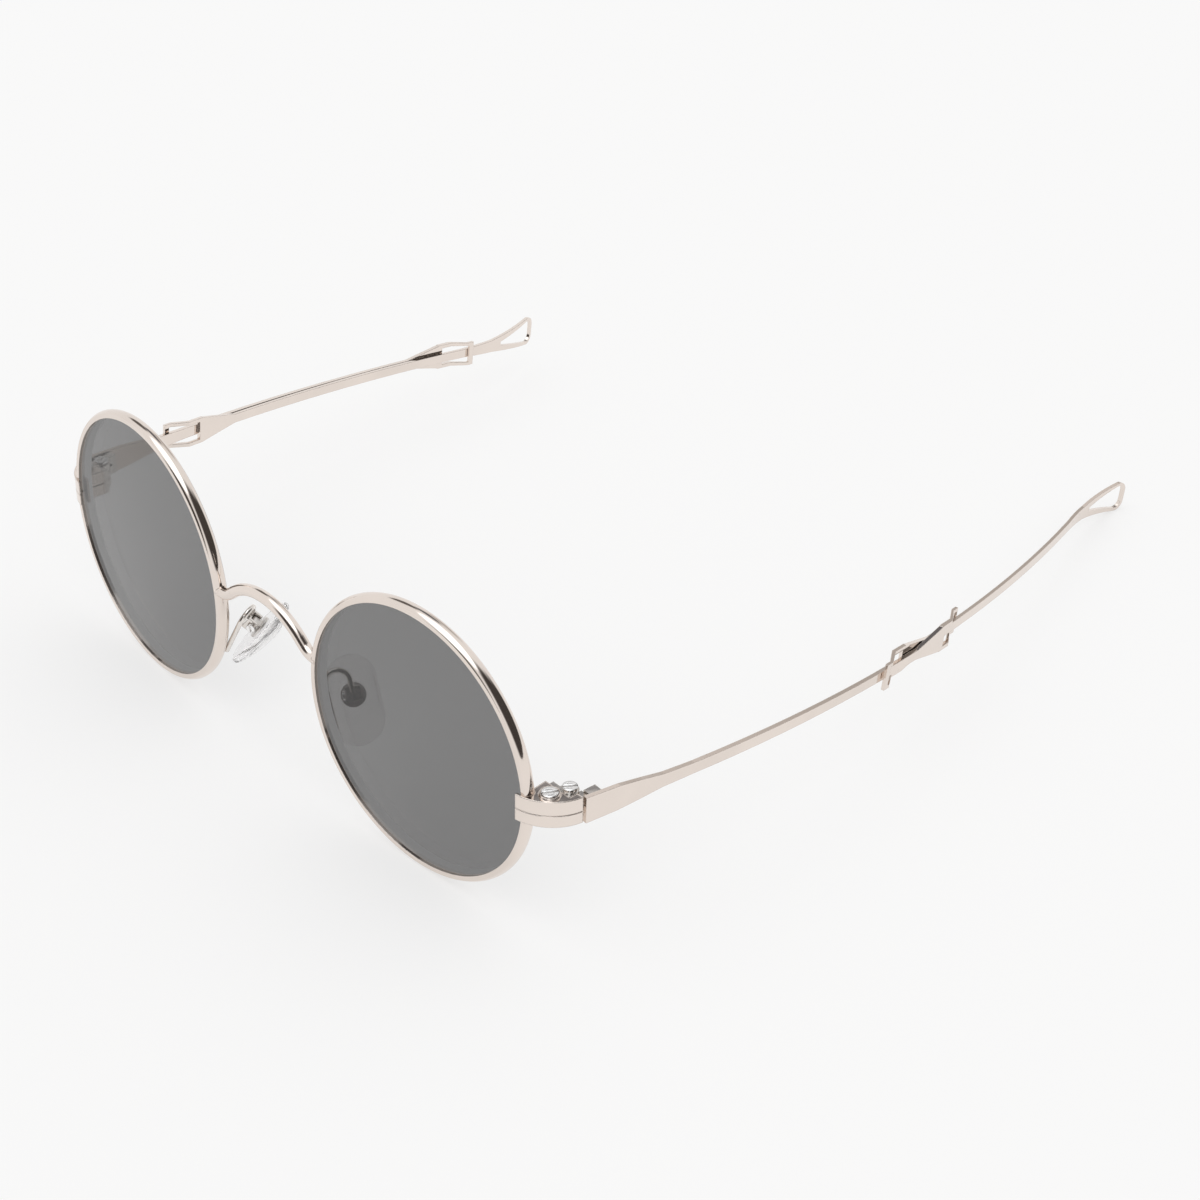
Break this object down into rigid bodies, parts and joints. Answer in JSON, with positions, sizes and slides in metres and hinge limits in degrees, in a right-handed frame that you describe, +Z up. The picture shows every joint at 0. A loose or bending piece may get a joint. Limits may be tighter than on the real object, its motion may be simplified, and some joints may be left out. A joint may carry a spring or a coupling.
{
  "type": "round wire sunglasses with sliding temples",
  "caption": "Round metal sunglasses with grey lenses, high wire bridge, clear nose pads and folding temples whose rear bars slide out and end in wire tip loops.",
  "frame": {"origin": "point between the nose pads, level with their middles, where the bridge of the nose sits", "axes": "+X to the wearer's left, +Y back along the temples, +Z up, as the sunglasses lie on a table"},
  "size_m": [0.1273, 0.1533, 0.0443],
  "materials": {
    "polished_nickel": "polished nickel with a faint warm cast",
    "brushed_fittings": "tumbled small fittings",
    "screw_steel": "turned screw heads",
    "grey_lens": "neutral grey tint, polished",
    "clear_silicone": "clear soft silicone, satin"
  },
  "bodies": {
    "front": {"bridge": "polished_nickel", "left_rim": "polished_nickel", "right_rim": "polished_nickel", "left_lens": "grey_lens", "right_lens": "grey_lens", "left_upper_lug": "polished_nickel", "right_upper_lug": "polished_nickel", "left_lower_lug": "polished_nickel", "right_lower_lug": "polished_nickel", "left_lock_screw": "screw_steel", "right_lock_screw": "screw_steel", "left_hinge_fork": "brushed_fittings", "right_hinge_fork": "brushed_fittings", "left_hinge_screw": "screw_steel", "right_hinge_screw": "screw_steel", "left_pad_arm": "brushed_fittings", "right_pad_arm": "brushed_fittings", "left_pad_box": "brushed_fittings", "right_pad_box": "brushed_fittings", "left_pad_screw": "screw_steel", "right_pad_screw": "screw_steel"},
    "left_temple": {"left_temple_bar": "polished_nickel", "left_temple_knuckle": "brushed_fittings"},
    "right_temple": {"right_temple_bar": "polished_nickel", "right_temple_knuckle": "brushed_fittings"},
    "left_slide": {"left_extension": "polished_nickel"},
    "right_slide": {"right_extension": "polished_nickel"},
    "left_pad": {"left_nose_pad": "clear_silicone", "left_pad_mount": "brushed_fittings"},
    "right_pad": {"right_nose_pad": "clear_silicone", "right_pad_mount": "brushed_fittings"}
  },
  "joints": [
    {"name": "left_temple_fold", "type": "hinge", "parent": "front", "child": "left_temple", "pos_m": [0.05705, 0.002, 0.0062], "axis": [0, 0.0314, 0.9995], "range_deg": [-7.8, 83]},
    {"name": "right_temple_fold", "type": "hinge", "parent": "front", "child": "right_temple", "pos_m": [-0.05705, 0.002, 0.0062], "axis": [0, -0.0314, -0.9995], "range_deg": [-2.3, 84.5]},
    {"name": "left_extension_slide", "type": "hinge", "parent": "left_temple", "child": "left_slide", "pos_m": [-0.25379, 0.03217, 0.00382], "axis": [-0.0053, -0.133, -0.9911], "range_deg": [-0.55, 8.19]},
    {"name": "right_extension_slide", "type": "hinge", "parent": "right_temple", "child": "right_slide", "pos_m": [0.24946, 0.06181, 0.00289], "axis": [-0.0151, 0.132, 0.9911], "range_deg": [-8.73, 0]},
    {"name": "left_pad_rock", "type": "hinge", "parent": "front", "child": "left_pad", "pos_m": [0.01235, -0.00057, 0.00082], "axis": [-0.5413, -0.8368, -0.0819], "range_deg": [-8, 8]},
    {"name": "right_pad_rock", "type": "hinge", "parent": "front", "child": "right_pad", "pos_m": [-0.01235, -0.00057, 0.00082], "axis": [-0.5413, 0.8368, 0.0819], "range_deg": [-8, 8]}
  ]
}
